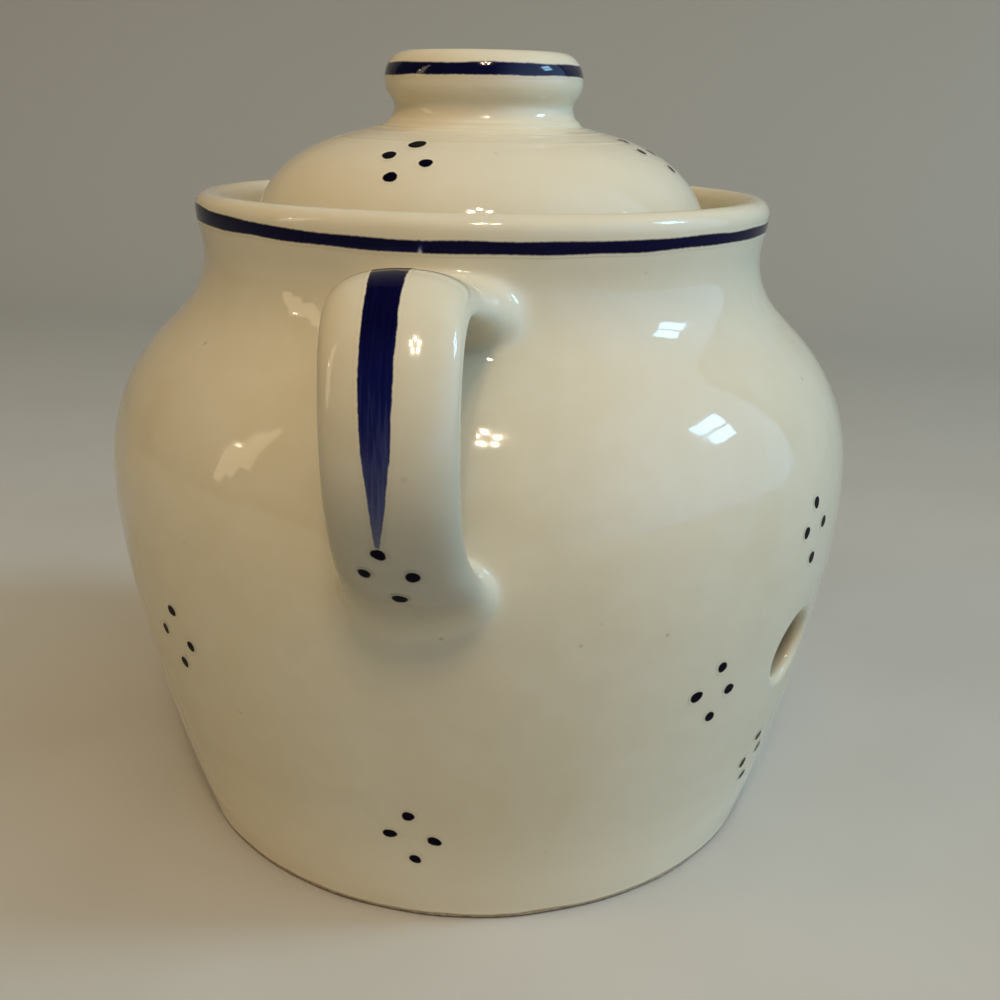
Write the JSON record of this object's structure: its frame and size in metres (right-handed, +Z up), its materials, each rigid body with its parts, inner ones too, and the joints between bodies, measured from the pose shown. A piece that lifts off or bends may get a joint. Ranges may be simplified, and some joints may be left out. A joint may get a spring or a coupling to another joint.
{
  "type": "garlic keeper",
  "caption": "Bellied glazed stoneware jar with air vents, a strap handle and a domed, knobbed lid that lifts out of its flared rim, for storing garlic bulbs.",
  "frame": {"origin": "middle of the foot ring, on the plane the jar stands on", "axes": "+Z up along the jar's axis, +X towards the strap handle"},
  "size_m": [0.1473, 0.13, 0.132],
  "materials": {
    "jar_glaze": "glossy cream glaze with a cobalt rim band, a brushed cobalt stroke on the handle and dots in fours; dry clay foot ring",
    "lid_glaze": "glossy cream glaze with a cobalt band round the knob and dots in fours; dry clay resting face"
  },
  "bodies": {
    "jar": {"jar": "jar_glaze", "handle": "jar_glaze"},
    "lid": {"lid": "lid_glaze", "lid_knob": "lid_glaze"}
  },
  "joints": [
    {"name": "lid_lift", "type": "slide", "parent": "jar", "child": "lid", "axis": [0, 0, 1], "range_m": [0, 0.06]}
  ]
}
